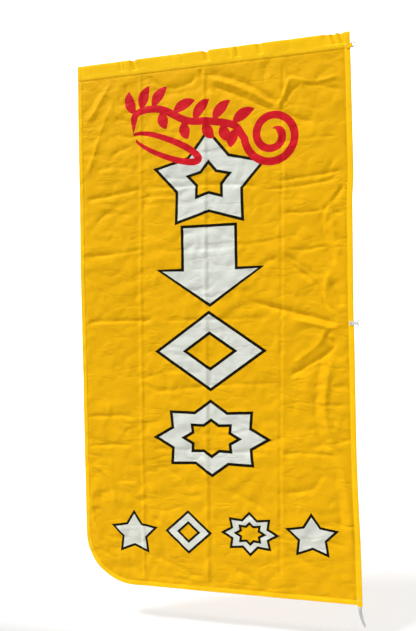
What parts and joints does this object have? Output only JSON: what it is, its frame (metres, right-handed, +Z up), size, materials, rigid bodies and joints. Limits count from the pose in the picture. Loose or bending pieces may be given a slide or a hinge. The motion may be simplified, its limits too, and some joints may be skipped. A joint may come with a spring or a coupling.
{
  "type": "forecourt banner flag",
  "caption": "Tall rectangular cloth banner flag with a top pole sleeve, one rounded lower corner, a taped header with D-rings and a tie tail.",
  "frame": {"origin": "middle of the pole sleeve's mouth, on the sleeve's axis at the pole side", "axes": "+X out of the sleeve's mouth towards the pole, +Y from the pictured face to the printed face, +Z up"},
  "size_m": [0.9167, 0.01, 1.8173],
  "materials": {
    "panel_cloth": "thin woven polyester, slightly glossy",
    "trim_cloth": "doubled woven polyester",
    "webbing": "white woven tape, matt",
    "ring_plastic": "moulded plastic, satin",
    "yellow_thread": "spun polyester thread",
    "tack_thread": "dense pale thread"
  },
  "bodies": {
    "flag": {"flag_panel": "panel_cloth", "pole_sleeve": "trim_cloth", "sleeve_mouth_stitching": "yellow_thread", "sleeve_end_stitching": "yellow_thread", "sleeve_seam_stitching_upper": "yellow_thread", "sleeve_seam_stitching_lower": "yellow_thread", "header_casing": "trim_cloth", "header_tape": "webbing", "header_stitching": "yellow_thread", "side_hem": "trim_cloth", "bottom_hem": "trim_cloth", "side_hem_stitching": "yellow_thread", "bottom_hem_stitching": "yellow_thread", "top_ring_tab": "trim_cloth", "mid_ring_tab": "webbing", "sleeve_bar_tack_left": "tack_thread", "top_tab_bar_tack": "tack_thread", "mid_tab_bar_tack": "tack_thread", "header_bar_tack": "tack_thread", "tie_tail": "webbing"},
    "top_ring": {"top_ring": "ring_plastic"},
    "mid_ring": {"mid_ring": "ring_plastic"}
  },
  "joints": [
    {"name": "top_ring_swing", "type": "hinge", "parent": "flag", "child": "top_ring", "pos_m": [0.0047, 0, -0.01729], "axis": [-0.342, 0, 0.9397], "range_deg": [-100, 100]},
    {"name": "mid_ring_swing", "type": "hinge", "parent": "flag", "child": "mid_ring", "pos_m": [0.005, 0, -0.866], "axis": [0, 0, 1], "range_deg": [-130, 130]}
  ]
}
